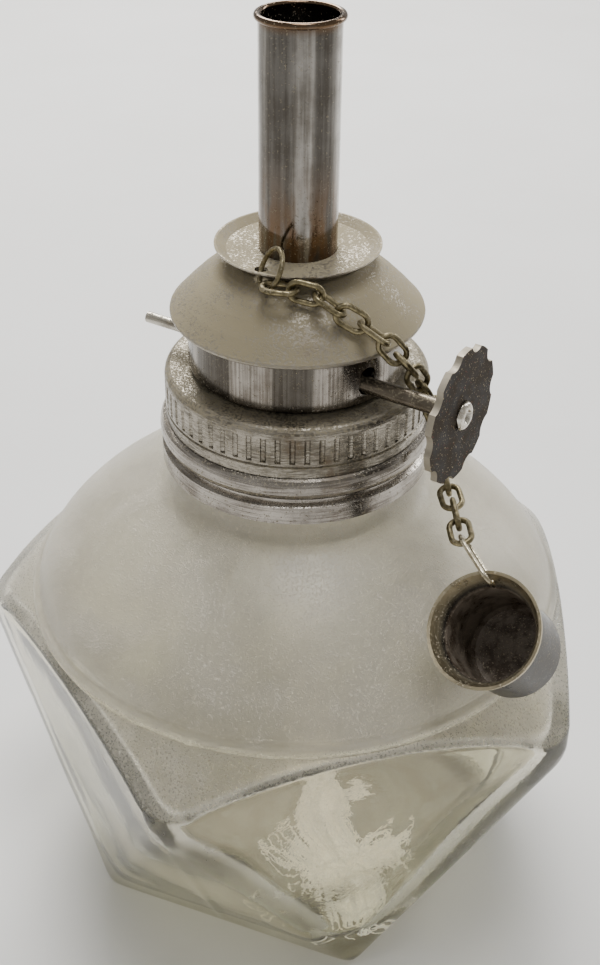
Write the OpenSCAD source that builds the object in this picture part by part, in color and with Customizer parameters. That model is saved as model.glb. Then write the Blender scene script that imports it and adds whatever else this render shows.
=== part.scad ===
// Spirit lamp: five-sided glass font, screwed burner with a wick raiser, and a snuffer cap on a chain.
// The origin is the centre of the flat base. +Z is up and +X runs along the wick shaft to its knob.

/* [Glass font] */
// Corner radius of the flat five-sided base
base_r = 35; // [33:0.5:36]
// Radius to the five girdle corners
girdle_r = 49; // [47:0.5:50]
// Height of the girdle corners
girdle_h = 42; // [40:0.5:44]
// Radius of the foot of the dome
dome_r = 38.8; // [37:0.2:39]
// Height of the foot of the dome
dome_foot_h = 50.2; // [49:0.2:52]
// Height of the dome's full curve above its foot
dome_rise = 21.5; // [20:0.5:22]
// Wall thickness of the glass
glass_wall = 3; // [2.5:0.25:3.5]

/* [Burner] */
// Radius of the knurled screw cap
cap_r = 18.5; // [18.4:0.05:18.6]
// Radius of the drum
drum_r = 15.1; // [15:0.05:15.2]
// Radius of the hood's rim
hood_r = 17.4; // [17:0.1:18]
// Radius of the drip flange
flange_r = 11.2; // [11:0.1:12]
// Outer radius of the wick tube
tube_r = 5.25; // [5.2:0.05:5.3]
// Height of the wick tube's lip
tube_top = 134.5; // [125:0.5:140]
// Thickness of the sheet metal
sheet = 0.5; // [0.4:0.05:0.6]

/* [Wick raiser] */
// Radius of the cross shaft
shaft_r = 0.8; // [0.7:0.05:0.8]
// Outer radius of the toothed wheels
wheel_r = 3.25; // [3:0.05:3.3]
// Radius of the scalloped thumb disc
knob_r = 9.1; // [8:0.1:9.5]
// Height of the top of the lowered wick
wick_top = 117; // [110:0.5:120]

/* [Snuffer and chain] */
// Mouth radius of the flared snuffer
mouth_r = 7.5; // [7.3:0.05:7.6]
// Length of the snuffer
snuffer_len = 13.4; // [12:0.1:14]
// Wire diameter of the chain links
link_wire = 0.8; // [0.6:0.05:0.8]
// Distance between neighbouring link centres
link_pitch = 3.4; // [3.35:0.05:3.5]

/* [Hidden] */
$fn = 96;

sides = 5;
// Direction of the base corners; the girdle corners lie half a step between them
base_corner_az = -43.2;
facet_step = 360 / sides;
base_apothem = base_r * cos(facet_step / 2);
girdle_apothem = girdle_r * cos(facet_step / 2);
kite_tilt = atan((girdle_apothem - base_r) / girdle_h);
under_tilt = atan((girdle_r - base_apothem) / girdle_h);
floor_h = 4.5;
girdle_blunt_r = girdle_r - 1.2;
bead_r = 0.9;
big = 130;

// Superellipse power of the dome, and its slope angle where the neck fillet takes over
dome_power = 1.65;
dome_end_r = 20.3;
dome_end_slope = 25;
neck_fillet_r = 5;
function dome_h(r, a, b) = b * pow(1 - pow(r / a, dome_power), 1 / dome_power);
dome_end_h = dome_foot_h + dome_h(dome_end_r, dome_r, dome_rise);
neck_centre_r = dome_end_r + neck_fillet_r * sin(dome_end_slope);
neck_centre_h = dome_end_h + neck_fillet_r * cos(dome_end_slope);
neck_r = neck_centre_r - neck_fillet_r;
neck_bore_r = 14.2;
neck_top_h = 77.4;

skirt_r = 19.2;
skirt_h = 71.9;
shelf_h = 78.7;
sleeve_r = 16.9;
sleeve_top_h = 84;

cap_bottom_h = 78.8;
cap_top_h = 86.1;
cap_wall = 0.75;
cap_hole_r = 13.3;
flutes = 60;
flute_r = 0.42;

thread_pitch = 2.5;
thread_turns = 1.6;
thread_steps = 32;
thread_root_w = 0.9;
thread_crest_w = 0.4;
collar_crest_r = 17.45;
cap_crest_r = 17.2;
collar_thread_h = 79.7;

drum_bottom_h = 86.3;
drum_top_h = 96.2;
base_neck_r = 13.2;
plate_h = 86.4;
rim_h = 94.8;
hood_top_h = 102.3;
flange_h = 103.1;
flange_rim_h = 104.3;

shaft_y = -5.3;
shaft_h = 89.15;
shaft_clear = 0.06;
bearing_x = 5.35;
sleeve_x0 = 12.5;
sleeve_x1 = 25.3;
disc_x0 = 26.9;
disc_x1 = 27.8;
pin_x = -21.7;
petals = 10;

wick_r = 4.55;
wick_bottom = 62;
track_half_w = 2.1;
track_depth_y = shaft_y + wheel_r + 0.08;

snuffer_r = 6.3;
snuffer_wall = 0.4;
flare_len = 3;
mouth_centre = [38.3, -17.8, 67.9];
// Turns that point +Z from the mouth to the closed end
snuffer_turn = [0, 136.7, 79.5];
hole_spin = 155;
hole_r = 0.6;
hole_depth = 1.6;
end_ring = [8.4, 3.8, 0.6];
end_ring_turn = -37;

flange_hole = [-0.3, -8.6];
ring_wire = 0.66;
ring_r = 2.8;
ring_centre = [1.96, -9.75, 104.48];
ring_turn = [64, 0, -40];

link_len = 5.2;
link_w = 3.4;
// The chain's route from the flange ring over the hood, down past the shaft, to the snuffer's ring
chain_route = [[2.6, -11.9, 103.1], [7.9, -9.4, 102.8], [11.2, -8.8, 100.9], [14.3, -7.3, 98.9],
    [17.0, -6.2, 96.9], [18.5, -5.0, 94.4], [19.5, -2.8, 91.4], [20.2, -0.4, 87.8], [21.9, 0.7, 83.8],
    [22.5, 1.1, 80.4], [22.8, 0.5, 77.7], [24.5, -1.1, 75.1], [27.7, -5.1, 74.6], [32.1, -11.2, 73.9]];
draped_links = 5;
hanging_links = 12;
all_links = 16;

function along(s, i = 0) =
    let (step = chain_route[i + 1] - chain_route[i], l = norm(step))
    (s <= l || i == len(chain_route) - 2) ? chain_route[i] + step * s / l : along(s - l, i + 1);

// Revolved outline of the font, drawn in from the outside by t
function font_outline(t, foot_h) = concat(
    [[0, foot_h], [girdle_blunt_r - t, foot_h], [girdle_blunt_r - t, girdle_h - 1],
     [girdle_blunt_r - t - 0.6, girdle_h + 1.2]],
    [for (k = [0:14])
        let (r = dome_r - (dome_r - dome_end_r) * pow(k / 14, 2))
        [r - t, dome_foot_h - t * 0.6 + dome_h(r, dome_r, dome_rise) * (1 - t / dome_rise)]]);

// Wall that leans outward as it rises; everything inside it is kept
module leaning_half_space(az, foot_r, tilt, t) {
    rotate([0, 0, az])
        translate([foot_r, 0, 0])
            rotate([0, tilt, 0])
                translate([-big - t, -big / 2, -big / 2])
                    cube([big, big, big * 1.5]);
}

module five_sided_body(t) {
    intersection_for (k = [0:sides - 1]) {
        intersection() {
            leaning_half_space(base_corner_az + facet_step * k, base_r, kite_tilt, t);
            leaning_half_space(base_corner_az + facet_step * (k + 0.5), base_apothem, under_tilt, t);
        }
    }
}

module font_outer() {
    intersection() {
        rotate_extrude()
            polygon(concat(font_outline(0, 0),
                [for (a = [60:-15:0]) [neck_centre_r - neck_fillet_r * cos(a),
                                       neck_centre_h - neck_fillet_r * sin(a)]],
                [[neck_r, neck_top_h], [0, neck_top_h]]));
        five_sided_body(0);
    }
    rotate_extrude()
        translate([dome_r - 0.1, dome_foot_h])
            circle(r = bead_r, $fn = 24);
}

module glass_font() {
    color([0.86, 0.85, 0.72, 0.4])
        difference() {
            font_outer();
            intersection() {
                rotate_extrude()
                    polygon(concat(font_outline(glass_wall, floor_h),
                        [[neck_bore_r, neck_centre_h], [0, neck_centre_h]]));
                five_sided_body(glass_wall);
            }
            translate([0, 0, dome_foot_h])
                cylinder(r = neck_bore_r, h = neck_top_h);
        }
}

module collar_cement() {
    color("gainsboro")
        rotate_extrude()
            polygon([[neck_r, neck_centre_h + 0.2], [skirt_r - sheet, neck_centre_h + 0.2],
                [skirt_r - sheet, 74.3], [18, 74.7], [18, 75.7], [18.9, 76.4], [18.9, 77.6],
                [18.6, 78.2], [neck_bore_r + 0.6, 78.2], [neck_bore_r + 0.6, neck_top_h],
                [neck_r, neck_top_h]]);
}

// Ridge of trapezoid section that climbs one pitch in each turn
module helical_ridge(root_r, crest_r, start_h) {
    steps = round(thread_turns * thread_steps);
    points = [for (i = [0:steps])
        let (a = 360 * i / thread_steps, z = start_h + thread_pitch * i / thread_steps)
        each [for (q = [[root_r, -thread_root_w], [crest_r, -thread_crest_w],
                        [crest_r, thread_crest_w], [root_r, thread_root_w]])
            [q[0] * cos(a), q[0] * sin(a), z + q[1] / 2]]];
    turn = crest_r > root_r ? [3, 2, 1, 0] : [0, 1, 2, 3];
    last = 4 * steps;
    faces = concat([[for (j = turn) j]], [[for (j = [3:-1:0]) last + turn[j]]],
        [for (i = [0:steps - 1], j = [0:3])
            let (a = 4 * i + turn[j], b = 4 * i + turn[(j + 1) % 4])
            [b, a, a + 4, b + 4]]);
    polyhedron(points = points, faces = faces, convexity = 6);
}

module neck_collar() {
    color("silver") {
        rotate_extrude()
            polygon(concat(
                [[skirt_r - sheet, skirt_h], [skirt_r, skirt_h], [skirt_r, 74.5], [18.5, 74.9], [18.5, 75.5]],
                [for (a = [-60:20:60]) [18.5 + 0.9 * cos(a), 77.1 + 1.6 * sin(a)]],
                [[18.4, shelf_h], [sleeve_r, shelf_h], [sleeve_r, sleeve_top_h],
                 [sleeve_r - sheet, sleeve_top_h], [sleeve_r - sheet, 78.2], [18.6, 78.2],
                 [18.9, 77.6], [18.9, 76.4], [18, 75.7], [18, 74.7], [skirt_r - sheet, 74.3]]));
        helical_ridge(sleeve_r - 0.2, collar_crest_r, collar_thread_h);
    }
}

module screw_cap() {
    color("silver") {
        difference() {
            rotate_extrude()
                polygon(concat(
                    [[cap_r - cap_wall, cap_bottom_h], [cap_r, cap_bottom_h], [cap_r, 80.2],
                     [cap_r - 0.25, 80.4], [cap_r, 80.6], [cap_r, 84.8]],
                    [for (a = [0:18:90]) [cap_r - 1.2 + 1.2 * cos(a), cap_top_h - 1.2 + 1.2 * sin(a)]],
                    [[cap_hole_r, cap_top_h], [cap_hole_r, cap_top_h - sheet],
                     [cap_r - cap_wall, cap_top_h - sheet]]));
            for (k = [0:flutes - 1])
                rotate([0, 0, 360 / flutes * k])
                    translate([cap_r + 0.15, 0, 80.9])
                        cylinder(r = flute_r, h = 3.7, $fn = 16);
        }
        helical_ridge(cap_r - cap_wall + 0.2, cap_crest_r, collar_thread_h + thread_pitch / 2);
    }
}

module washer(inner_r, outer_r, bottom_h, thick) {
    translate([0, 0, bottom_h])
        difference() {
            cylinder(r = outer_r, h = thick);
            translate([0, 0, -1])
                cylinder(r = inner_r, h = thick + 2);
        }
}

module cap_retainer() {
    color("goldenrod")
        washer(base_neck_r, 16.5, 84.75, 0.45);
}

module neck_gasket() {
    color("sienna")
        washer(13.7, 16.5, 84.15, 0.6);
}

module along_shaft(x, r, len, smooth = 48) {
    translate([x, shaft_y, shaft_h])
        rotate([0, 90, 0])
            cylinder(r = r, h = len, $fn = smooth);
}

module burner_drum() {
    color("silver")
        difference() {
            rotate_extrude()
                polygon([[14, drum_bottom_h], [drum_r - 0.5, drum_bottom_h], [drum_r, drum_bottom_h + 0.6],
                    [drum_r, drum_top_h], [drum_r - sheet, drum_top_h], [drum_r - sheet, drum_bottom_h + 0.9],
                    [14, drum_bottom_h + 0.4]]);
            along_shaft(5, 1.35, 15);
            translate([0, 0, 1.5])
                along_shaft(5, 1.2, 15);
            along_shaft(-20, shaft_r + 0.1, 15);
        }
}

module drum_base() {
    color("goldenrod")
        difference() {
            union() {
                washer(tube_r + 0.02, 13.95, plate_h, sheet);
                washer(base_neck_r - 0.7, base_neck_r, 84.75, plate_h - 84.7);
            }
            translate([-track_half_w, -9.2, plate_h - 1])
                cube([2 * track_half_w, 4.5, 3]);
        }
}

module burner_hood() {
    color("silver")
        rotate_extrude()
            polygon(concat(
                [for (a = [-150:30:60]) [hood_r - 0.5 + 0.5 * cos(a), rim_h + 0.5 * sin(a)]],
                [[15.6, 96.95], [13.8, 98.75], [12, 100.3], [10.4, 101.5], [8.9, 102.15], [7.8, hood_top_h],
                 [tube_r + 0.02, hood_top_h], [tube_r + 0.02, hood_top_h - sheet],
                 [7.7, hood_top_h - sheet], [8.7, 101.65], [10.1, 101.05], [11.7, 99.85],
                 [13.4, 98.4], [15.2, 96.6], [16.3, 95.2]]));
}

module drip_flange() {
    color("silver")
        difference() {
            rotate_extrude()
                polygon([[tube_r + 0.02, hood_top_h], [6, hood_top_h], [6.4, flange_h], [9.8, flange_h],
                    [flange_r, flange_rim_h - 0.2], [flange_r, flange_rim_h], [flange_r - 0.3, flange_rim_h],
                    [9.6, flange_h + 0.4], [tube_r + 0.02, flange_h + 0.4]]);
            translate([flange_hole[0], flange_hole[1], flange_h - 1])
                cylinder(r = 0.85, h = 3, $fn = 32);
        }
}

module wick_tube() {
    color("silver")
        difference() {
            union() {
                translate([0, 0, 80.5])
                    cylinder(r = tube_r, h = tube_top - 80.5 - 0.3);
                rotate_extrude()
                    translate([tube_r + 0.05, tube_top - 0.45])
                        circle(r = 0.45, $fn = 24);
            }
            translate([0, 0, 80])
                cylinder(r = tube_r - 0.4, h = 60);
            translate([-3.5, -9.8, shaft_h - 3.6])
                cube([7, 6.2, 7.2]);
        }
}

module bearing() {
    difference() {
        union() {
            translate([bearing_x, shaft_y - 1.7, plate_h + sheet])
                cube([0.6, 3.4, 4.4]);
            translate([bearing_x, shaft_y - 1.7, plate_h + sheet])
                cube([2.6, 3.4, 0.5]);
        }
        along_shaft(bearing_x - 1, shaft_r + shaft_clear, 3);
    }
}

module shaft_bearings() {
    color("goldenrod") {
        bearing();
        mirror([1, 0, 0])
            bearing();
    }
}

module wick() {
    color("ivory")
        difference() {
            translate([0, 0, wick_bottom])
                cylinder(r = wick_r, h = wick_top - wick_bottom);
            translate([-track_half_w, -wick_r - 1, wick_bottom - 1])
                cube([2 * track_half_w, track_depth_y + wick_r + 1, wick_top - wick_bottom + 2]);
        }
}

// Loose cotton that leaves the wick, sinks to the floor of the font and spreads there
module wick_tail() {
    color("ivory") {
        hull() {
            translate([0, 0, wick_bottom - 1])
                cylinder(r = wick_r - 0.2, h = 1, $fn = 24);
            translate([3, -2.5, 42])
                sphere(r = 3.6, $fn = 20);
        }
        hull() {
            translate([3, -2.5, 42])
                sphere(r = 3.6, $fn = 20);
            translate([10, -9, 14])
                sphere(r = 3.8, $fn = 20);
        }
        hull() {
            translate([10, -9, 14])
                sphere(r = 3.8, $fn = 20);
            translate([11, -9, 9.2])
                sphere(r = 4.4, $fn = 20);
            translate([19, -16, 9.2])
                sphere(r = 4.4, $fn = 20);
            translate([19, -7, 8.8])
                sphere(r = 4, $fn = 20);
        }
    }
}

module wick_shaft() {
    color("dimgray")
        along_shaft(pin_x, shaft_r, disc_x1 - pin_x);
}

module tube_on_shaft(x, r, len) {
    difference() {
        along_shaft(x, r, len);
        along_shaft(x - 1, shaft_r, len + 2);
    }
}

module shaft_sleeve() {
    color("dimgray")
        tube_on_shaft(sleeve_x0, 1.15, sleeve_x1 - sleeve_x0);
}

module shaft_stop() {
    color("goldenrod")
        tube_on_shaft(-7.2, 1.6, 1);
}

module star_wheels() {
    teeth = 12;
    color("goldenrod")
        for (x = [-1.6, 0.9])
            translate([x, shaft_y, shaft_h])
                rotate([0, 90, 0])
                    linear_extrude(height = 0.7)
                        difference() {
                            polygon([for (k = [0:2 * teeth - 1])
                                let (a = 180 / teeth * k, r = k % 2 == 0 ? wheel_r : wheel_r - 0.8)
                                [r * cos(a), r * sin(a)]]);
                            circle(r = shaft_r, $fn = 48);
                        }
}

module knob_hub() {
    color("dimgray")
        tube_on_shaft(sleeve_x1, 1.7, disc_x0 - sleeve_x1);
}

module knob_disc() {
    color("dimgray")
        translate([disc_x0, shaft_y, shaft_h])
            rotate([0, 90, 0])
                linear_extrude(height = disc_x1 - disc_x0)
                    difference() {
                        circle(r = knob_r);
                        circle(r = shaft_r, $fn = 48);
                        for (k = [0:petals - 1])
                            rotate([0, 0, 360 / petals * (k + 0.5)])
                                translate([knob_r + 1.2, 0])
                                    circle(r = 2, $fn = 32);
                    }
}

module knob_rivet() {
    color("dimgray")
        translate([disc_x1, shaft_y, shaft_h])
            rotate([0, 90, 0])
                rotate_extrude()
                    polygon([[0, 0], [1.9, 0], [1.7, 0.35], [1.2, 0.7], [0.6, 0.85], [0, 0.9]]);
}

// Closed ring of round wire, stretched along X by straight sides
module wire_ring(len, w, wire) {
    arc_r = (w - wire) / 2;
    straight = len - w;
    for (s = [0, 180])
        rotate([0, 0, s]) {
            translate([straight / 2, 0, 0])
                rotate([0, 0, -90])
                    rotate_extrude(angle = 180, $fn = 32)
                        translate([arc_r, 0])
                            circle(r = wire / 2, $fn = 16);
            translate([-straight / 2, arc_r, 0])
                rotate([0, 90, 0])
                    cylinder(r = wire / 2, h = straight, $fn = 16);
        }
}

// Puts a ring's length along the line between two points; at roll 0 its width faces up and away from the lamp
module laid_between(from, to, roll) {
    step = to - from;
    middle = (from + to) / 2;
    az = atan2(step[1], step[0]);
    el = asin(step[2] / norm(step));
    out = [middle[0], middle[1], norm([middle[0], middle[1]])];
    side = [-sin(az), cos(az), 0];
    up = [-sin(el) * cos(az), -sin(el) * sin(az), cos(el)];
    translate(middle)
        rotate([0, -el, az])
            rotate([atan2(out * up, out * side) + roll, 0, 0])
                children();
}

module chain_links(first, last) {
    color("darkkhaki")
        for (i = [first:last])
            laid_between(along(link_pitch * i), along(link_pitch * (i + 1)), i % 2 == 0 ? 45 : -45)
                wire_ring(link_len, link_w, link_wire);
}

module chain_draped() {
    chain_links(0, draped_links - 1);
}

module chain_hanging() {
    chain_links(draped_links, hanging_links - 1);
}

module chain_lower() {
    chain_links(hanging_links, all_links - 1);
}

module flange_ring() {
    color("darkkhaki")
        translate(ring_centre)
            rotate(ring_turn)
                rotate_extrude($fn = 64)
                    translate([ring_r, 0])
                        circle(r = ring_wire / 2, $fn = 16);
}

module at_snuffer() {
    translate(mouth_centre)
        rotate([0, 0, snuffer_turn[2]])
            rotate([0, snuffer_turn[1], 0])
                children();
}

module at_brim_hole() {
    rotate([0, 0, hole_spin])
        translate([snuffer_r + 0.3, 0, hole_depth])
            children();
}

module snuffer_cap() {
    color("dimgray")
        at_snuffer()
            difference() {
                rotate_extrude()
                    polygon([[mouth_r, 0], [mouth_r, 0.4], [6.75, 1.4], [snuffer_r, flare_len],
                        [snuffer_r, snuffer_len - 1.4], [5.9, snuffer_len - 0.6], [5, snuffer_len - 0.2],
                        [3, snuffer_len], [0, snuffer_len + 0.1], [0, snuffer_len - 0.3],
                        [3, snuffer_len - 0.4], [4.8, snuffer_len - 0.6], [5.5, snuffer_len - 1],
                        [snuffer_r - snuffer_wall, snuffer_len - 1.6], [snuffer_r - snuffer_wall, flare_len],
                        [6.4, 1.3], [mouth_r - 0.4, 0.1]]);
                at_brim_hole()
                    rotate([0, 90, 0])
                        cylinder(r = hole_r, h = 4, center = true, $fn = 32);
            }
}

module snuffer_ring() {
    color("darkkhaki")
        at_snuffer()
            at_brim_hole()
                rotate([0, 0, end_ring_turn])
                    translate([end_ring[0] / 2 - 1.5, 0, (end_ring[2] - end_ring[1]) / 2])
                        rotate([90, 0, 0])
                            wire_ring(end_ring[0], end_ring[1], end_ring[2]);
}

glass_font();
collar_cement();
neck_collar();
screw_cap();
cap_retainer();
neck_gasket();
burner_drum();
drum_base();
burner_hood();
drip_flange();
wick_tube();
shaft_bearings();
wick();
wick_tail();
wick_shaft();
shaft_sleeve();
shaft_stop();
star_wheels();
knob_hub();
knob_disc();
knob_rivet();
flange_ring();
chain_draped();
chain_hanging();
chain_lower();
snuffer_ring();
snuffer_cap();
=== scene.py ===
"""Spirit lamp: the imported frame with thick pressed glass, worn plated metal and loose cotton."""
import math

import bmesh
import bpy
import numpy as np
from mathutils import Matrix, Vector


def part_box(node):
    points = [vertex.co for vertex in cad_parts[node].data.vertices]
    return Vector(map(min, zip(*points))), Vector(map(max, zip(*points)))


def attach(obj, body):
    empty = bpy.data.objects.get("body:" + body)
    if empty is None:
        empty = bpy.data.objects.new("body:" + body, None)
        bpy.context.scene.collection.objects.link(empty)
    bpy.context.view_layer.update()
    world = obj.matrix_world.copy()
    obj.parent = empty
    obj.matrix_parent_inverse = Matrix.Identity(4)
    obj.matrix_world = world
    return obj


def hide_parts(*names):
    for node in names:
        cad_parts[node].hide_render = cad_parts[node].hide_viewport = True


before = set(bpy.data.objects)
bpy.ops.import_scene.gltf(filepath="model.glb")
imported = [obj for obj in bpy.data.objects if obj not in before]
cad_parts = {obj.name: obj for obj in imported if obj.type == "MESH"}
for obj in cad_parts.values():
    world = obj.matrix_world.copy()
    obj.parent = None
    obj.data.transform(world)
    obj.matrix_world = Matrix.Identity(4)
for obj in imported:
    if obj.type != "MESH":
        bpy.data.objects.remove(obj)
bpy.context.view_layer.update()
MM = 0.001


# ---------------------------------------------------------------- mesh helpers

def piece(name, verts, faces, material, body):
    """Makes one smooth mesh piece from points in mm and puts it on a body."""
    mesh = bpy.data.meshes.new(name)
    mesh.from_pydata([(x * MM, y * MM, z * MM) for x, y, z in verts], [], faces)
    mesh.validate()
    work = bmesh.new()
    work.from_mesh(mesh)
    bmesh.ops.recalc_face_normals(work, faces=work.faces)
    work.to_mesh(mesh)
    work.free()
    mesh.polygons.foreach_set("use_smooth", [True] * len(mesh.polygons))
    mesh.materials.append(material)
    obj = bpy.data.objects.new(name, mesh)
    bpy.context.scene.collection.objects.link(obj)
    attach(obj, body)
    return obj


def closed_grid(rings, bottom, top):
    """Faces and points of a closed skin over equal rings, with a point at each end."""
    count = len(rings[0])
    verts = [bottom] + [p for ring in rings for p in ring] + [top]
    faces = []
    for j in range(count):
        faces.append((0, 1 + (j + 1) % count, 1 + j))
    for i in range(len(rings) - 1):
        a = 1 + i * count
        b = a + count
        for j in range(count):
            k = (j + 1) % count
            faces.append((a + j, a + k, b + k, b + j))
    a = 1 + (len(rings) - 1) * count
    for j in range(count):
        faces.append((a + j, a + (j + 1) % count, len(verts) - 1))
    return verts, faces


# ---------------------------------------------------------------- shader helpers

class Shader:
    """A principled material and short ways to add nodes to it."""

    def __init__(self, name):
        self.material = bpy.data.materials.new(name)
        self.material.use_nodes = True
        self.tree = self.material.node_tree
        self.bsdf = self.tree.nodes["Principled BSDF"]
        coords = self.tree.nodes.new("ShaderNodeTexCoord")
        self.point = coords.outputs["Object"]
        self.normal = coords.outputs["Normal"]

    def node(self, kind, **settings):
        """A new node of this kind, with its settings."""
        made = self.tree.nodes.new("ShaderNode" + kind)
        for key, value in settings.items():
            setattr(made, key, value)
        return made

    def put(self, socket, value):
        """Links a socket to another one, or sets its constant."""
        if isinstance(value, bpy.types.NodeSocket):
            self.tree.links.new(value, socket)
        else:
            socket.default_value = value

    def maths(self, operation, a, b=0.0, clamp=False):
        made = self.node("Math", operation=operation, use_clamp=clamp)
        self.put(made.inputs[0], a)
        self.put(made.inputs[1], b)
        return made.outputs[0]

    def vector(self, operation, a, b, output=0):
        """Vector maths: output 0 is its vector and output 1 its number."""
        made = self.node("VectorMath", operation=operation)
        self.put(made.inputs[0], a)
        self.put(made.inputs[1], b)
        return made.outputs[output]

    def noise(self, size_mm, detail=4.0, rough=0.55, stretch=(1, 1, 1), seed=0.0, distort=0.0):
        """Noise with lumps of about the given size, stretched along the axes."""
        mapping = self.node("Mapping")
        self.put(mapping.inputs["Vector"], self.point)
        mapping.inputs["Location"].default_value = (seed, seed * 0.7, seed * 1.3)
        mapping.inputs["Scale"].default_value = [1 / (size_mm * MM * s) for s in stretch]
        made = self.node("TexNoise")
        self.put(made.inputs["Vector"], mapping.outputs[0])
        made.inputs["Scale"].default_value = 1.0
        made.inputs["Detail"].default_value = detail
        made.inputs["Roughness"].default_value = rough
        made.inputs["Distortion"].default_value = distort
        return made.outputs["Fac"]

    def span(self, value, lo, hi, to_lo=0.0, to_hi=1.0):
        """Maps lo..hi smoothly to to_lo..to_hi and stops at both ends."""
        made = self.node("MapRange", interpolation_type="SMOOTHSTEP")
        self.put(made.inputs["Value"], value)
        made.inputs["From Min"].default_value = lo
        made.inputs["From Max"].default_value = hi
        made.inputs["To Min"].default_value = to_lo
        made.inputs["To Max"].default_value = to_hi
        return made.outputs["Result"]

    def mix(self, share, a, b):
        """Colour a at share 0 and colour b at share 1."""
        made = self.node("Mix", data_type="RGBA")
        self.put(made.inputs["Factor"], share)
        self.put(made.inputs["A"], rgba(a))
        self.put(made.inputs["B"], rgba(b))
        return made.outputs["Result"]

    def blend(self, share, a, b):
        """Number a at share 0 and number b at share 1."""
        made = self.node("Mix", data_type="FLOAT")
        self.put(made.inputs["Factor"], share)
        self.put(made.inputs["A"], a)
        self.put(made.inputs["B"], b)
        return made.outputs["Result"]

    def axis(self, which, vector=None):
        """One coordinate of a vector, or of the point on the object."""
        made = self.node("SeparateXYZ")
        self.put(made.inputs[0], self.point if vector is None else vector)
        return made.outputs[which]

    def bump(self, height, depth_mm, strength=1.0):
        """Fine relief of the given depth."""
        made = self.node("Bump")
        self.put(made.inputs["Height"], height)
        made.inputs["Distance"].default_value = depth_mm * MM
        made.inputs["Strength"].default_value = strength
        self.tree.links.new(made.outputs["Normal"], self.bsdf.inputs["Normal"])

    def set(self, **values):
        """Sets or links the shader's own inputs, with _ for a space in a name."""
        for key, value in values.items():
            self.put(self.bsdf.inputs[key.replace("_", " ")], rgba(value))


def rgba(value):
    """A colour of three numbers gets its alpha; anything else is left as it is."""
    return (*value, 1.0) if isinstance(value, tuple) and len(value) == 3 else value


DUST = (0.34, 0.295, 0.20)
DUST_GRAIN_MM = 0.35


def settled_dust(s, amount, down):
    """Share of a surface that dust covers: speckles and patches, most of it on what faces up."""
    speck = s.noise(DUST_GRAIN_MM, 2.0, 0.6, seed=3.1)
    patch = s.noise(9.0, 5.0, 0.6, seed=8.4)
    facing = s.span(s.axis("Z", s.normal), -0.15, 0.75, down, 1.0)
    level = s.maths("MULTIPLY", s.span(patch, 0.25, 0.75, 0.55, 1.25), facing)
    level = s.maths("MULTIPLY", level, amount)
    lift = s.maths("ADD", speck, s.maths("MULTIPLY", level, 0.34))
    grains = s.span(lift, 0.62, 0.74)
    haze = s.maths("MULTIPLY", level, 0.40)
    return s.maths("ADD", s.maths("MULTIPLY", grains, 0.6), haze, clamp=True)


def worn_metal(name, bright, dull, rough, grain=(1, 1, 1), grain_mm=0.5, dust=0.5, stain=0.3,
               stain_tone=(0.16, 0.10, 0.055), down=0.2, extra=None, dust_tone=DUST):
    """Metal with a directional grain, dull and stained patches, fine pits and settled dust."""
    s = Shader(name)
    fine = s.noise(grain_mm, 5.0, 0.6, grain, seed=1.7)
    patch = s.noise(6.0, 6.0, 0.62, seed=5.2)
    pits = s.noise(0.8, 3.0, 0.7, seed=11.0)
    worn = s.maths("ADD", s.maths("MULTIPLY", fine, 0.55), s.maths("MULTIPLY", patch, 0.45))
    tone = s.mix(s.span(worn, 0.38, 0.62), bright, dull)
    spots = s.maths("MULTIPLY", s.span(patch, 0.52, 0.72), s.span(pits, 0.42, 0.62, 0.35, 1.0))
    spots = s.maths("MULTIPLY", spots, stain)
    tone = s.mix(spots, tone, stain_tone)
    # extra marks: real stains and brush marks, and for the tube and drum also painted dark reflection
    # bands
    for mask, mark in (extra(s) if extra else ()):
        tone = s.mix(mask, tone, mark)
    covered = settled_dust(s, dust, down)
    tone = s.mix(covered, tone, dust_tone)
    gloss = s.span(worn, 0.35, 0.65, rough[0], rough[1])
    gloss = s.maths("ADD", gloss, s.maths("MULTIPLY", spots, 0.2))
    s.set(Base_Color=tone, Metallic=s.maths("SUBTRACT", 1.0, s.maths("MULTIPLY", covered, 0.9)),
          Roughness=s.blend(covered, gloss, 0.85))
    height = s.maths("ADD", s.maths("MULTIPLY", fine, 0.4), s.maths("MULTIPLY", covered, 0.8))
    height = s.maths("SUBTRACT", height, s.maths("MULTIPLY", s.span(pits, 0.6, 0.75), 0.5))
    s.bump(height, 0.05, 0.6)
    return s.material


def dress(material, *nodes):
    """Gives CAD nodes a better material."""
    for node in nodes:
        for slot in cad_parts[node].material_slots:
            slot.material = material


# ---------------------------------------------------------------- the glass font

BASE_R = 35.0
GIRDLE_R = 49.0
GIRDLE_H = 42.0
BLUNT_R = GIRDLE_R - 1.2
DOME_R = 38.8
DOME_FOOT = 50.2
DOME_RISE = 21.5
DOME_POWER = 1.65
DOME_END_R = 20.3
DOME_END_SLOPE = math.radians(25)
FILLET_R = 5.0
BORE_R = 14.2
NECK_TOP = 77.4
FLOOR_H = 4.5
WALL = 3.0
CORNER_AZ = math.radians(-43.2)
STEP = math.radians(72)
BASE_APOTHEM = BASE_R * math.cos(STEP / 2)
KITE_SLOPE = (GIRDLE_R * math.cos(STEP / 2) - BASE_R) / GIRDLE_H
UNDER_SLOPE = (GIRDLE_R - BASE_APOTHEM) / GIRDLE_H
SEAM_AZ = CORNER_AZ - STEP / 2
ROUND = 320          # points round each ring
NEAR_COS = 0.15      # a wall counts only where the cosine of the angle to it is above this
FAR = 400.0          # distance given to a wall that does not count
OUTER_EDGE = 0.45    # softness of the edges outside
INNER_EDGE = 1.1     # softness of the edges inside
FLOOR_CROWN = 0.25   # rise of the floor in its middle
FLOOR_FILLET = 4     # radius of the hollow where its walls meet its floor
BEAD_R = 38.7        # radius to the middle of the bead at the foot of the dome
BEAD_SWELL = 0.95
SEAM_SWELL = 0.28
SEAM_WIDTH = 0.42
WAVE_COUNT = 7
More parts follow.
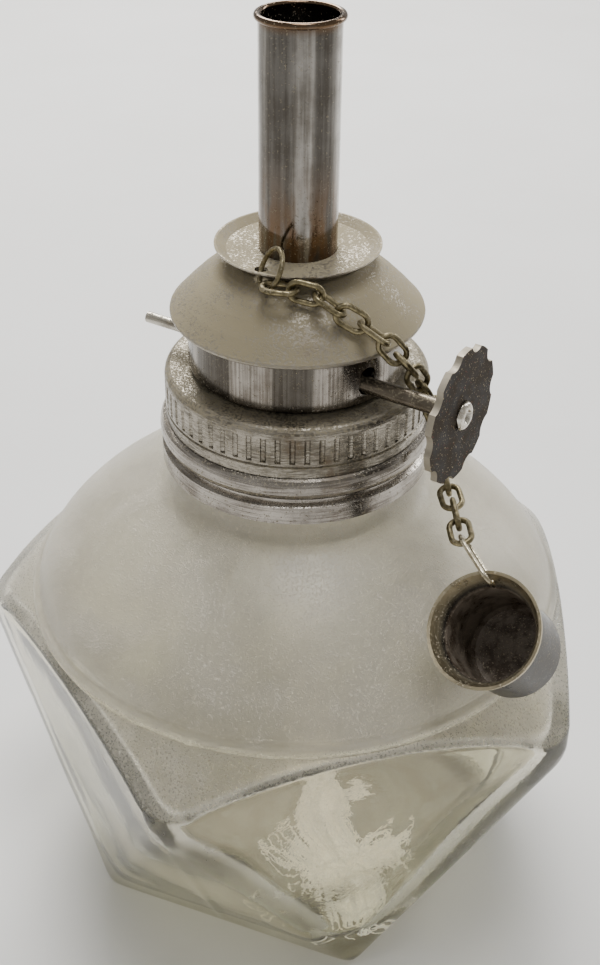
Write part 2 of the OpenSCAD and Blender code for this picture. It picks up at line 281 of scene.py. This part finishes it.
OUTER_WAVES = 0.10
INNER_WAVES = 0.35
PUSH_UP = 0.5        # hollow under the middle of the base


def dome_radius(h, a, b):
    """Radius of the dome's curve at height h above its foot."""
    share = np.clip(h / b, 0, 1)
    return a * (1 - share ** DOME_POWER) ** (1 / DOME_POWER)


DOME_END_H = DOME_FOOT + DOME_RISE * (1 - (DOME_END_R / DOME_R) ** DOME_POWER) ** (1 / DOME_POWER)
FILLET_X = DOME_END_R + FILLET_R * math.sin(DOME_END_SLOPE)
FILLET_Z = DOME_END_H + FILLET_R * math.cos(DOME_END_SLOPE)


def soft_least(values, k):
    """Smooth minimum, which rounds the edges where surfaces meet."""
    values = np.array(values)
    low = values.min(0)
    return low - k * np.log(np.exp(-(values - low) / k).sum(0))


def walls(az, z, inset, k):
    """Distance from the axis to the ten leaning walls."""
    found = []
    for i in range(5):
        for turn, foot, slope in ((i, BASE_R, KITE_SLOPE), (i + 0.5, BASE_APOTHEM, UNDER_SLOPE)):
            toward = np.cos(az - CORNER_AZ - STEP * turn)
            reach = foot + slope * z - inset * math.hypot(1, slope)
            found.append(np.where(toward > NEAR_COS, reach / np.maximum(toward, NEAR_COS), FAR))
    return soft_least(found, k)


def outer_outline(z):
    """Radius of the turned outline of the outside at height z."""
    if z < GIRDLE_H - 1:
        return BLUNT_R
    if z < GIRDLE_H + 1.2:
        return BLUNT_R - 0.6 * (z - GIRDLE_H + 1) / 2.2
    if z < DOME_FOOT:
        share = (z - GIRDLE_H - 1.2) / (DOME_FOOT - GIRDLE_H - 1.2)
        return BLUNT_R - 0.6 + (DOME_R - BLUNT_R + 0.6) * share + 0.5 * math.sin(math.pi * share)
    if z < DOME_END_H:
        return float(dome_radius(z - DOME_FOOT, DOME_R, DOME_RISE))
    if z < FILLET_Z:
        return FILLET_X - math.sqrt(max(FILLET_R ** 2 - (FILLET_Z - z) ** 2, 0))
    return FILLET_X - FILLET_R


def inner_outline(z):
    """Radius of the turned outline of the hollow at height z."""
    foot = DOME_FOOT - 0.6 * WALL
    if z < GIRDLE_H - 1:
        return BLUNT_R - WALL
    if z < foot:
        share = (z - GIRDLE_H + 1) / (foot - GIRDLE_H + 1)
        return BLUNT_R - WALL + (DOME_R - BLUNT_R) * share ** 1.5
    rise = DOME_RISE * (1 - WALL / DOME_RISE)
    return max(BORE_R, float(dome_radius(z - foot, DOME_R, rise)) - WALL)


def waves(az, z, seed, size):
    """Slow unevenness of pressed glass."""
    rng = np.random.default_rng(seed)
    total = np.zeros_like(az)
    for _ in range(WAVE_COUNT):
        turns = rng.integers(2, 9)
        total = total + math.sin(z * rng.uniform(0.08, 0.3) + rng.uniform(0, 6.3)) \
            * np.sin(az * turns + rng.uniform(0, 6.3))
    return total * size / WAVE_COUNT ** 0.5


def glass_rings():
    """Rings of the whole glass skin: under the base, up the outside, down the inside to the floor."""
    az = np.linspace(0, 2 * math.pi, ROUND, endpoint=False)
    rings = []

    def add(radius, z):
        height = np.broadcast_to(z, radius.shape)
        rings.append(np.stack([radius * np.cos(az), radius * np.sin(az), height], -1).tolist())

    edge = walls(az, 0.0, 0, OUTER_EDGE)
    for share in (0.15, 0.35, 0.55, 0.72, 0.84):
        add(edge * share, PUSH_UP if share < 0.8 else PUSH_UP / 2)
    for share, z in ((0.9, 0.0), (0.95, 0.0), (0.975, 0.08), (0.99, 0.3)):
        add(edge * share, z)
    heights = np.concatenate([np.arange(0.8, 38, 0.8), np.arange(38, 52.4, 0.24),
                              np.arange(52.4, 66, 0.5), np.arange(66, FILLET_Z, 0.2),
                              np.arange(FILLET_Z, NECK_TOP, 0.8)])
    for z in heights:
        shape = soft_least([walls(az, z, 0, OUTER_EDGE), np.full_like(az, outer_outline(z))], 0.35)
        off_bead = abs(z - DOME_FOOT)
        if off_bead < 1.3:
            swell = math.sqrt(max(BEAD_SWELL ** 2 - off_bead ** 2, 0))
            shape = np.maximum(shape, BEAD_R + swell - 0.02 * off_bead)
        fade = min(1.0, z / 6) * (1 if z < 60 else max(0.0, (72 - z) / 12))
        shape = shape + waves(az, z, 5, OUTER_WAVES) * fade
        for seam in (SEAM_AZ, SEAM_AZ + math.pi):
            off = (az - seam + math.pi) % (2 * math.pi) - math.pi
            ridge = SEAM_SWELL * np.exp(-(off * shape / SEAM_WIDTH) ** 2)
            shape = shape + ridge * fade * (z < 70)
        add(shape, z)
    add(np.full_like(az, FILLET_X - FILLET_R - 0.4), NECK_TOP)
    add(np.full_like(az, BORE_R + 0.4), NECK_TOP)
    for z in np.concatenate([np.arange(NECK_TOP - 0.5, 70, -1.0), np.arange(70, 62, -0.3),
                             np.arange(62, 38, -0.5), np.arange(38, FLOOR_H + FLOOR_FILLET, -1.0)]):
        shape = soft_least([walls(az, z, WALL, INNER_EDGE), np.full_like(az, inner_outline(z))], 0.6)
        fade = max(0.0, min(1.0, (66 - z) / 8))
        add(shape + waves(az, z, 9, INNER_WAVES) * fade, z)
    low = walls(az, FLOOR_H, WALL, INNER_EDGE)
    for turn in range(1, 9):
        a = math.pi / 2 * turn / 8
        z = FLOOR_H + FLOOR_FILLET - FLOOR_FILLET * math.sin(a)
        wide = walls(az, z, WALL, INNER_EDGE)
        add(wide - FLOOR_FILLET * (1 - math.cos(a)), z)
    for share in (0.78, 0.6, 0.4, 0.2):
        add((low - FLOOR_FILLET) * share, FLOOR_H + FLOOR_CROWN * (1 - share))
    return rings


def glass_material():
    """Pressed glass: a frosted, dusty dome and shoulder over clearer, faintly yellow facets."""
    s = Shader("dusty_pressed_glass")
    up = s.axis("Z", s.normal)
    height = s.axis("Z")
    dome = s.span(height, 0.0475, 0.0515)
    shoulder = s.span(up, 0.25, 0.7)
    frosted = s.maths("MAXIMUM", dome, s.maths("MULTIPLY", shoulder, 0.8))
    frosted = s.maths("MULTIPLY", frosted, s.span(up, -0.6, 0.02))
    speck = s.noise(0.34, 3.0, 0.75, seed=2.0)
    cloud = s.noise(14.0, 5.0, 0.6, seed=6.0, distort=0.6)
    wipes = s.noise(2.2, 4.0, 0.6, (1, 1, 3), seed=4.0)
    level = s.maths("MULTIPLY", s.span(cloud, 0.3, 0.7, 0.55, 1.35), s.span(wipes, 0.3, 0.7, 0.85, 1.1))
    grains = s.span(s.maths("ADD", speck, s.maths("MULTIPLY", level, 0.08)), 0.60, 0.74)
    film = s.maths("MULTIPLY", level, s.blend(frosted, 0.03, 0.44))
    # Darker brown, less clear patch over the upward-facing inside floor below about 8.5 mm. It joins the
    # dust film and darkens the inside of the font.
    inner_floor_darkening = s.maths("MULTIPLY", s.span(height, 0.0052, 0.0085, 1.0, 0.0), s.span(up, 0.3, 0.9))
    inner_floor_darkening = s.maths("MULTIPLY", inner_floor_darkening, s.span(cloud, 0.3, 0.65, 0.6, 0.95))
    film = s.maths("MAXIMUM", film, inner_floor_darkening)
    dust = s.maths("ADD", film, s.maths("MULTIPLY", grains, s.blend(frosted, 0.06, 0.55)), clamp=True)
    clear = s.mix(s.span(height, 0.0, 0.055), (0.88, 0.88, 0.70), (0.84, 0.80, 0.68))
    tone = s.mix(s.span(cloud, 0.3, 0.7), (0.28, 0.24, 0.165), (0.46, 0.42, 0.33))
    tone = s.mix(s.maths("MULTIPLY", grains, frosted), tone, (0.74, 0.68, 0.56))
    tone = s.mix(s.span(inner_floor_darkening, 0.1, 0.5), tone, (0.26, 0.235, 0.155))
    s.set(Base_Color=s.mix(dust, clear, tone), Transmission_Weight=s.maths("SUBTRACT", 1.0, dust),
          Roughness=s.blend(frosted, s.span(wipes, 0.35, 0.7, 0.0, 0.05),
                            s.span(speck, 0.3, 0.7, 0.30, 0.46)))
    s.bsdf.inputs["IOR"].default_value = 1.5
    grit = s.maths("MULTIPLY", s.maths("MULTIPLY", grains, frosted), 0.5)
    s.bump(s.maths("ADD", grit, s.maths("MULTIPLY", cloud, 2.0)), 0.10, 0.5)
    return s.material


def make_glass():
    """The pressed font as one closed skin, which stands for the CAD node."""
    rings = glass_rings()
    verts, faces = closed_grid(rings, (0, 0, PUSH_UP), (0, 0, FLOOR_H + FLOOR_CROWN))
    glass = piece("pressed_glass_font", verts, faces, glass_material(), "font")
    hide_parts("glass_font")


# ---------------------------------------------------------------- cotton

def cotton_material(name, tone, shade, glow):
    """Matt cotton. The glow stands for light that little reaches through the dusty glass."""
    s = Shader(name)
    fuzz = s.noise(0.5, 6.0, 0.7, seed=1.0)
    lump = s.noise(3.0, 4.0, 0.6, seed=2.0)
    both = s.maths("ADD", s.maths("MULTIPLY", fuzz, 0.5), s.maths("MULTIPLY", lump, 0.5))
    s.set(Base_Color=s.mix(s.span(both, 0.35, 0.65), shade, tone),
          Roughness=s.span(fuzz, 0.3, 0.7, 0.8, 1.0))
    s.bsdf.inputs["Sheen Weight"].default_value = 0.3
    s.bsdf.inputs["Emission Color"].default_value = (1.0, 0.95, 0.82, 1.0)
    s.bsdf.inputs["Emission Strength"].default_value = glow
    s.bump(fuzz, 0.3, 0.7)
    return s.material


def fibre(path, radius, verts, faces):
    """Adds one thin closed three-sided fibre along a path."""
    start = len(verts)
    last = len(path) - 1
    for i, p in enumerate(path):
        along = (path[min(i + 1, last)] - path[max(i - 1, 0)]).normalized()
        side = along.cross(Vector((0.31, 0.52, 0.79))).normalized()
        other = along.cross(side)
        r = radius * (0.35 if i in (0, last) else 1.0)
        for j in range(3):
            a = 2 * math.pi * j / 3
            verts.append(tuple(p + side * (r * math.cos(a)) + other * (r * math.sin(a))))
    for i in range(last):
        a = start + 3 * i
        for j in range(3):
            k = (j + 1) % 3
            faces.append((a + j, a + k, a + 3 + k, a + 3 + j))
    faces.append((start + 2, start + 1, start))
    a = start + 3 * last
    faces.append((a, a + 1, a + 2))


BUNDLE_ROUTE = ((0, 0, 61.5), (1.5, -1.2, 50), (4, -3.5, 38), (8, -7, 24), (11, -9.5, 13),
                (15, -11, 8.8))
BUNDLE_FIBRES = 90
BUNDLE_POINTS = 34
BUNDLE_FLOOR = 5.4
TUFTS = ((18.5, -12.5, 8.4), (14.0, -14.5, 7.6), (21.0, -8.5, 8.4), (19.5, -16.5, 7.0))
TUFT_FIBRES = 620
TUFT_SPREAD = (3.0, 2.8, 1.6)
TUFT_FLOOR = 5.2
FIBRE_STEP = 0.55


def make_cotton():
    """The frayed wick end: a bundle that sinks to the floor and spreads as loose curly fluff."""
    rng = np.random.default_rng(21)
    verts = []
    faces = []
    route = [Vector(p) for p in BUNDLE_ROUTE]
    for _ in range(BUNDLE_FIBRES):
        off = Vector(rng.normal(0, 1, 3))
        off = off.normalized() * rng.uniform(0, 1) ** 0.5
        path = []
        for t in np.linspace(0, 1, BUNDLE_POINTS):
            f = t * (len(route) - 1)
            i = min(int(f), len(route) - 2)
            p = route[i].lerp(route[i + 1], f - i)
            spread = 3.6 - 1.4 * math.sin(math.pi * t) + 1.0 * t
            wobble = Vector((math.sin(9 * t + off.x * 7), math.cos(8 * t + off.y * 9), 0)) * 0.7
            q = p + off * spread + wobble
            q.z = max(q.z, BUNDLE_FLOOR)
            path.append(q)
        fibre(path, 0.2, verts, faces)
    for _ in range(TUFT_FIBRES):
        tuft = Vector(TUFTS[rng.integers(0, len(TUFTS))])
        p = tuft + Vector(rng.normal(0, 1, 3) * np.array(TUFT_SPREAD))
        heading = Vector(rng.normal(0, 1, 3)).normalized()
        curl = Vector(rng.normal(0, 1, 3)) * rng.uniform(0.15, 0.5)
        path = []
        for _ in range(rng.integers(14, 30)):
            heading = (heading + curl.cross(heading) + Vector(rng.normal(0, 0.14, 3))).normalized()
            pull = (tuft - p) * 0.05
            p = p + (heading + pull) * FIBRE_STEP
            if p.z < TUFT_FLOOR:
                p.z = TUFT_FLOOR + rng.uniform(0, 0.2)
            path.append(p.copy())
        fibre(path, rng.uniform(0.13, 0.24), verts, faces)
    tone = cotton_material("loose_cotton", (0.98, 0.96, 0.88), (0.88, 0.83, 0.70), 0.40)
    tail = piece("frayed_cotton_tail", verts, faces, tone, "wick")
    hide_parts("wick_tail")


# ---------------------------------------------------------------- metal

def tube_stain_and_painted_bands(s):
    """Brown stain at the foot of the wick tube, a dark burnt lip, and painted dark vertical reflection
    bands round the tube.
    """
    height = s.axis("Z")
    streak = s.noise(1.6, 4.0, 0.6, (1, 1, 5), seed=7.0)
    foot = s.maths("MULTIPLY", s.span(height, 0.104, 0.119, 1.0, 0.0), s.span(streak, 0.35, 0.6))
    lip = s.maths("MULTIPLY", s.span(height, 0.1325, 0.134), s.span(streak, 0.2, 0.5, 0.5, 0.95))
    # painted reflection: dark vertical bands that stand in for dark surroundings mirrored in the tube
    painted_reflection_bands = s.span(s.noise(3.0, 1.0, 0.4, (1, 1, 90), seed=13.0), 0.46, 0.62, 0.0, 0.75)
    return (painted_reflection_bands, (0.035, 0.03, 0.025)), (s.maths("MAXIMUM", foot, lip), (0.13, 0.08, 0.045))


def drum_brush_marks_and_painted_bands(s):
    """Painted dark vertical reflection bands round the drum, and real brush marks."""
    # painted reflection: dark vertical bands that stand in for dark surroundings mirrored in the drum
    painted_reflection_bands = s.span(s.noise(3.2, 1.0, 0.4, (1, 1, 90), seed=3.0), 0.44, 0.60, 0.0, 0.8)
    lines = s.span(s.noise(0.5, 2.0, 0.5, (1, 1, 60), seed=9.0), 0.5, 0.7, 0.0, 0.4)
    return (lines, (0.08, 0.07, 0.055)), (painted_reflection_bands, (0.035, 0.03, 0.024))


def disc_material():
    """Dark varnished brass with gold and red specks, worn bright on its edge."""
    s = Shader("speckled_dark_disc")
    speck = s.noise(0.28, 2.0, 0.6, seed=1.0)
    red = s.noise(0.45, 2.0, 0.6, seed=9.0)
    patch = s.noise(2.5, 5.0, 0.6, seed=4.0)
    face = s.span(s.maths("ABSOLUTE", s.axis("X", s.normal)), 0.5, 0.8)
    tone = s.mix(s.span(patch, 0.35, 0.65), (0.014, 0.010, 0.007), (0.040, 0.029, 0.019))
    tone = s.mix(s.span(speck, 0.64, 0.70, 0.0, 0.8), tone, (0.50, 0.40, 0.24))
    tone = s.mix(s.span(red, 0.68, 0.73, 0.0, 0.7), tone, (0.35, 0.09, 0.05))
    tone = s.mix(face, (0.40, 0.36, 0.29), tone)
    s.set(Base_Color=tone, Metallic=s.blend(face, 0.9, 0.1),
          Roughness=s.span(patch, 0.3, 0.7, 0.5, 0.75))
    s.bsdf.inputs["Specular IOR Level"].default_value = 0.12
    s.bump(s.maths("ADD", speck, patch), 0.03, 0.6)
    return s.material


# middle of the snuffer's mouth, and the direction from it into the snuffer, in metres
SNUFFER_MOUTH = (0.0383, -0.0178, 0.0679)
SNUFFER_AXIS = (0.1250, 0.6743, -0.7278)
SNUFFER_BORE = 0.00598


def snuffer_material():
    """Black tarnish outside and in, with the brim rubbed to pale brass."""
    s = Shader("tarnished_snuffer")
    from_mouth = s.vector("SUBTRACT", s.point, SNUFFER_MOUTH)
    deep = s.vector("DOT_PRODUCT", from_mouth, SNUFFER_AXIS, 1)
    wide = s.vector("LENGTH", s.vector("CROSS_PRODUCT", from_mouth, SNUFFER_AXIS), (0, 0, 0), 1)
    patch = s.noise(2.2, 5.0, 0.65, seed=2.0)
    speck = s.noise(0.3, 2.0, 0.6, seed=5.0)
    near = s.span(deep, 0.0004, 0.0024, 1.0, 0.0)
    brim = s.maths("MULTIPLY", near, s.span(patch, 0.3, 0.6, 0.65, 1.0))
    inside = s.span(wide, SNUFFER_BORE, SNUFFER_BORE + 0.00014, 1.0, 0.0)
    tone = s.mix(s.span(patch, 0.35, 0.65), (0.020, 0.018, 0.016), (0.065, 0.058, 0.048))
    lining = s.mix(s.span(patch, 0.4, 0.6), (0.09, 0.065, 0.045), (0.24, 0.20, 0.16))
    tone = s.mix(inside, tone, lining)
    tone = s.mix(brim, tone, (0.50, 0.43, 0.29))
    facing = s.span(s.axis("Z", s.normal), -0.2, 0.8, 0.15, 0.8)
    dust = s.maths("MULTIPLY", s.span(speck, 0.58, 0.68), facing)
    tone = s.mix(dust, tone, (0.62, 0.55, 0.42))
    s.set(Base_Color=tone, Metallic=s.span(s.maths("SUBTRACT", brim, dust), 0.0, 1.0, 0.15, 1.0),
          Roughness=s.blend(dust, s.span(patch, 0.3, 0.7, 0.25, 0.42), 0.85))
    s.bsdf.inputs["Specular IOR Level"].default_value = 0.3
    s.bump(s.maths("ADD", patch, dust), 0.06, 0.7)
    return s.material


# radius and height of the rivet's turned outline, from its foot over the rim into the dimple
RIVET_OUTLINE = ((1.95, 0.0), (2.0, 0.18), (1.9, 0.42), (1.66, 0.66), (1.35, 0.8), (1.1, 0.8),
                 (0.92, 0.66), (0.8, 0.42), (0.72, 0.15), (0.5, 0.08))
RIVET_ROUND = 48


def make_rivet():
    """Peened hollow end of the shaft on the disc."""
    lo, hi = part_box("knob_rivet")
    x0 = lo.x / MM
    y = (lo.y + hi.y) / 2 / MM
    z = (lo.z + hi.z) / 2 / MM
    rings = []
    for i, (r, h) in enumerate(RIVET_OUTLINE):
        ring = []
        for j in range(RIVET_ROUND):
            a = 2 * math.pi * j / RIVET_ROUND
            dent = 1 + 0.04 * math.sin(3 * a + i) + 0.03 * math.sin(7 * a)
            ring.append((x0 + h, y + r * dent * math.cos(a), z + r * dent * math.sin(a)))
        rings.append(ring)
    verts, faces = closed_grid(rings, (x0, y, z), (x0 + 0.08, y, z))
    bright = worn_metal("peened_rivet", (0.72, 0.69, 0.62), (0.42, 0.37, 0.29), (0.14, 0.3), dust=0.1)
    rivet = piece("peened_rivet", verts, faces, bright, "wick_raiser")
    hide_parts("knob_rivet")


def dress_metal():
    """Worn plated and bare metals for the CAD nodes."""
    nickel = (0.36, 0.33, 0.28)
    grey = (0.10, 0.09, 0.072)
    dress(worn_metal("polished_tube", (0.42, 0.40, 0.37), (0.18, 0.165, 0.145), (0.07, 0.18),
                     grain=(1, 1, 30), grain_mm=0.7, dust=0.03, stain=0.10, extra=tube_stain_and_painted_bands, down=0.5),
          "wick_tube")
    dress(worn_metal("banded_drum", (0.38, 0.35, 0.31), (0.15, 0.13, 0.11), (0.12, 0.26),
                     grain=(1, 1, 60), grain_mm=0.3, dust=0.12, stain=0.2, extra=drum_brush_marks_and_painted_bands),
          "burner_drum")
    dress(worn_metal("dusty_nickel", nickel, (0.32, 0.29, 0.24), (0.24, 0.40), dust=0.85, stain=0.35,
                     grain_mm=0.9, dust_tone=(0.34, 0.29, 0.185)), "burner_hood", "drip_flange")
    dress(worn_metal("knurled_nickel", nickel, grey, (0.16, 0.34), grain=(3, 3, 0.4), dust=0.6,
                     stain=0.5), "screw_cap")
    dress(worn_metal("turned_collar", (0.42, 0.39, 0.35), (0.17, 0.15, 0.13), (0.12, 0.28),
                     grain=(12, 12, 0.35), grain_mm=0.4, dust=0.22, stain=0.25), "neck_collar")
    dress(worn_metal("shaft_steel", (0.60, 0.57, 0.50), (0.25, 0.22, 0.18), (0.16, 0.35),
                     grain=(30, 1, 1), grain_mm=0.4, dust=0.3, stain=0.5), "wick_shaft")
    dress(worn_metal("sleeve_bronze", (0.16, 0.135, 0.105), (0.05, 0.04, 0.03), (0.2, 0.4),
                     grain=(30, 1, 1), dust=0.35, stain=0.6), "shaft_sleeve", "knob_hub")
    dress(worn_metal("khaki_brass", (0.32, 0.27, 0.155), (0.11, 0.09, 0.045), (0.24, 0.45), grain_mm=0.8,
                     dust=0.3, stain=0.6, stain_tone=(0.07, 0.055, 0.035)),
          "chain_draped", "chain_hanging", "chain_lower", "flange_ring")
    dress(worn_metal("ring_wire", (0.60, 0.55, 0.42), (0.32, 0.27, 0.18), (0.16, 0.36), grain_mm=0.8,
                     dust=0.15, stain=0.35), "snuffer_ring")
    dress(worn_metal("plain_brass", (0.66, 0.50, 0.25), (0.42, 0.31, 0.15), (0.25, 0.45), dust=0.2),
          "cap_retainer", "drum_base", "shaft_bearings", "shaft_stop", "star_wheels")
    dress(disc_material(), "knob_disc")
    dress(snuffer_material(), "snuffer_cap")


def dress_rest():
    """Gasket, plaster and the wick in its tube."""
    s = Shader("red_gasket")
    pore = s.noise(0.5, 4.0, 0.6)
    s.set(Base_Color=s.mix(s.span(pore, 0.35, 0.65), (0.16, 0.07, 0.05), (0.30, 0.17, 0.12)),
          Roughness=s.span(pore, 0.3, 0.7, 0.6, 0.85))
    s.bump(pore, 0.05)
    dress(s.material, "neck_gasket")
    s = Shader("old_plaster")
    pore = s.noise(0.7, 6.0, 0.7)
    s.set(Base_Color=s.mix(s.span(pore, 0.35, 0.65), (0.62, 0.58, 0.50), (0.84, 0.81, 0.74)),
          Roughness=s.span(pore, 0.3, 0.7, 0.75, 0.95))
    s.bump(pore, 0.2)
    dress(s.material, "collar_cement")
    dress(cotton_material("packed_wick", (0.90, 0.87, 0.78), (0.50, 0.43, 0.32), 0.0), "wick")


# ---------------------------------------------------------------- camera, floor and light

CAMERA_PLACE = (0.083394, -0.136660, 0.176637)
CAMERA_AZ = 0.54889       # turn to the left of +Y, in radians
CAMERA_PITCH = 0.54494    # how far it looks down
CAMERA_ROLL = 0.00995


def make_camera():
    """The camera at the photograph's viewing angle."""
    data = bpy.data.cameras.new("camera")
    data.sensor_width = 36.0
    data.lens = 49.083
    data.shift_x = 0.00477
    data.shift_y = -0.08549
    data.clip_start = 0.01
    data.clip_end = 20.0
    cam = bpy.data.objects.new("camera", data)
    bpy.context.scene.collection.objects.link(cam)
    level = math.cos(CAMERA_PITCH)
    ahead = Vector((-math.sin(CAMERA_AZ) * level, math.cos(CAMERA_AZ) * level, -math.sin(CAMERA_PITCH)))
    right = Vector((math.cos(CAMERA_AZ), math.sin(CAMERA_AZ), 0))
    up = right.cross(ahead)
    right_rolled = right * math.cos(CAMERA_ROLL) + up * math.sin(CAMERA_ROLL)
    up_rolled = right_rolled.cross(ahead)
    turn = Matrix((right_rolled, up_rolled, -ahead)).transposed().to_4x4()
    cam.matrix_world = Matrix.Translation(CAMERA_PLACE) @ turn
    bpy.context.scene.camera = cam


def make_floor():
    """A pale floor that reaches well past every view."""
    mesh = bpy.data.meshes.new("floor")
    work = bmesh.new()
    bmesh.ops.create_circle(work, cap_ends=True, radius=4.0, segments=96)
    work.to_mesh(mesh)
    work.free()
    s = Shader("pale_floor")
    cloud = s.noise(60.0, 4.0, 0.5)
    s.set(Base_Color=s.mix(s.span(cloud, 0.3, 0.7), (0.84, 0.835, 0.82), (0.87, 0.865, 0.855)))
    s.bsdf.inputs["Roughness"].default_value = 0.75
    mesh.materials.append(s.material)
    floor = bpy.data.objects.new("floor", mesh)
    bpy.context.scene.collection.objects.link(floor)


def area_light(name, place, aim, size, power, tone=(1, 1, 1)):
    """A rectangular light at a place, turned to its aim."""
    data = bpy.data.lights.new(name, "AREA")
    data.shape = "RECTANGLE"
    data.size = size[0]
    data.size_y = size[1]
    data.energy = power
    data.color = tone
    lamp = bpy.data.objects.new(name, data)
    bpy.context.scene.collection.objects.link(lamp)
    lamp.location = place
    lamp.rotation_mode = "QUATERNION"
    lamp.rotation_quaternion = (Vector(aim) - Vector(place)).to_track_quat("-Z", "Y")


def make_world():
    """Even studio surroundings, brighter at the horizon than above."""
    world = bpy.data.worlds.new("studio")
    world.use_nodes = True
    tree = world.node_tree
    back = tree.nodes["Background"]
    coords = tree.nodes.new("ShaderNodeTexCoord")
    split = tree.nodes.new("ShaderNodeSeparateXYZ")
    ramp = tree.nodes.new("ShaderNodeValToRGB")
    tree.links.new(coords.outputs["Generated"], split.inputs[0])
    tree.links.new(split.outputs["Z"], ramp.inputs["Fac"])
    ramp.color_ramp.elements[0].color = (1.25, 1.23, 1.19, 1)
    ramp.color_ramp.elements[0].position = 0.0
    ramp.color_ramp.elements[1].color = (0.75, 0.745, 0.73, 1)
    ramp.color_ramp.elements[1].position = 0.75
    tree.links.new(ramp.outputs["Color"], back.inputs["Color"])
    back.inputs["Strength"].default_value = 0.45
    bpy.context.scene.world = world


def make_lights():
    """A soft window behind on the left, a strip behind on the right, and a soft top light."""
    aim = (0, 0, 0.06)
    area_light("window", (-0.45, 0.50, 0.65), aim, (0.45, 0.45), 10, (1.0, 0.985, 0.95))
    area_light("side", (0.30, 0.75, 0.40), aim, (0.15, 0.5), 2)
    area_light("top", (0.05, 0.0, 0.9), aim, (0.3, 0.3), 3.5)


make_camera()
make_floor()
make_world()
make_lights()
make_glass()
make_cotton()
make_rivet()
dress_metal()
dress_rest()
